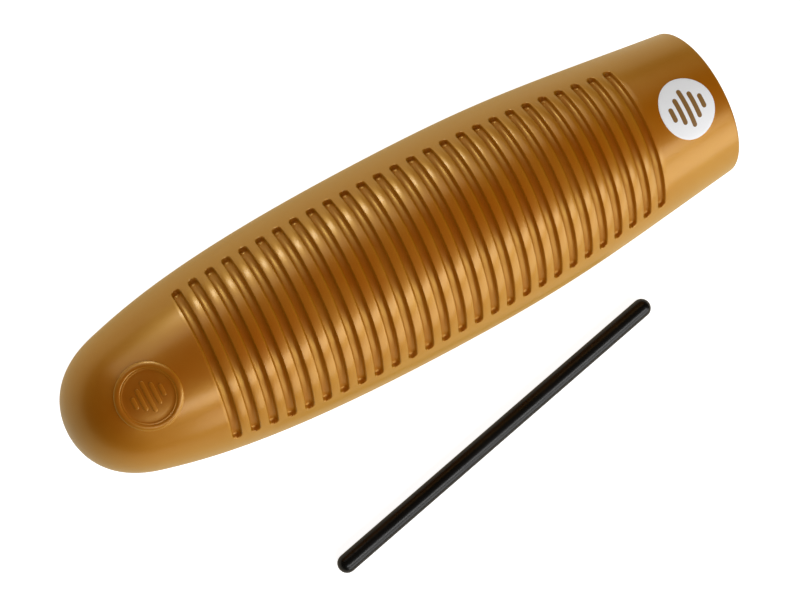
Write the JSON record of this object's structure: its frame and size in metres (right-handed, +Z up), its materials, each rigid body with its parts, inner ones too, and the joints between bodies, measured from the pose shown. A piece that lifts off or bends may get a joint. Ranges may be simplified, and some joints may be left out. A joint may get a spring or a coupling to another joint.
{
  "type": "guiro",
  "caption": "Barrel-shaped guiro with a closed round nose, an open mouth and a band of cross slots, lying beside its loose scraper rod.",
  "frame": {"origin": "under the middle of the bounding box of the barrel and its scraper, on the surface they lie on", "axes": "+X along the barrel from its closed nose to its open mouth, +Y to the side away from the scraper, +Z up, towards the slots"},
  "size_m": [0.3404, 0.1738, 0.098],
  "materials": {
    "gold_lacquer": "satin golden ochre lacquer over moulded glass fibre",
    "bonding_tape": "resin-soaked glass tape",
    "white_label": "white printed vinyl",
    "black_rod": "satin black"
  },
  "bodies": {
    "barrel": {"front_shell": "gold_lacquer", "back_shell": "gold_lacquer", "seam_tape": "bonding_tape", "badge": "white_label"},
    "scraper": {"scraper": "black_rod"}
  },
  "joints": [
    {"name": "scraper_lift", "type": "slide", "parent": "barrel", "child": "scraper", "axis": [0, 0, 1], "range_m": [0, 0.12]}
  ]
}
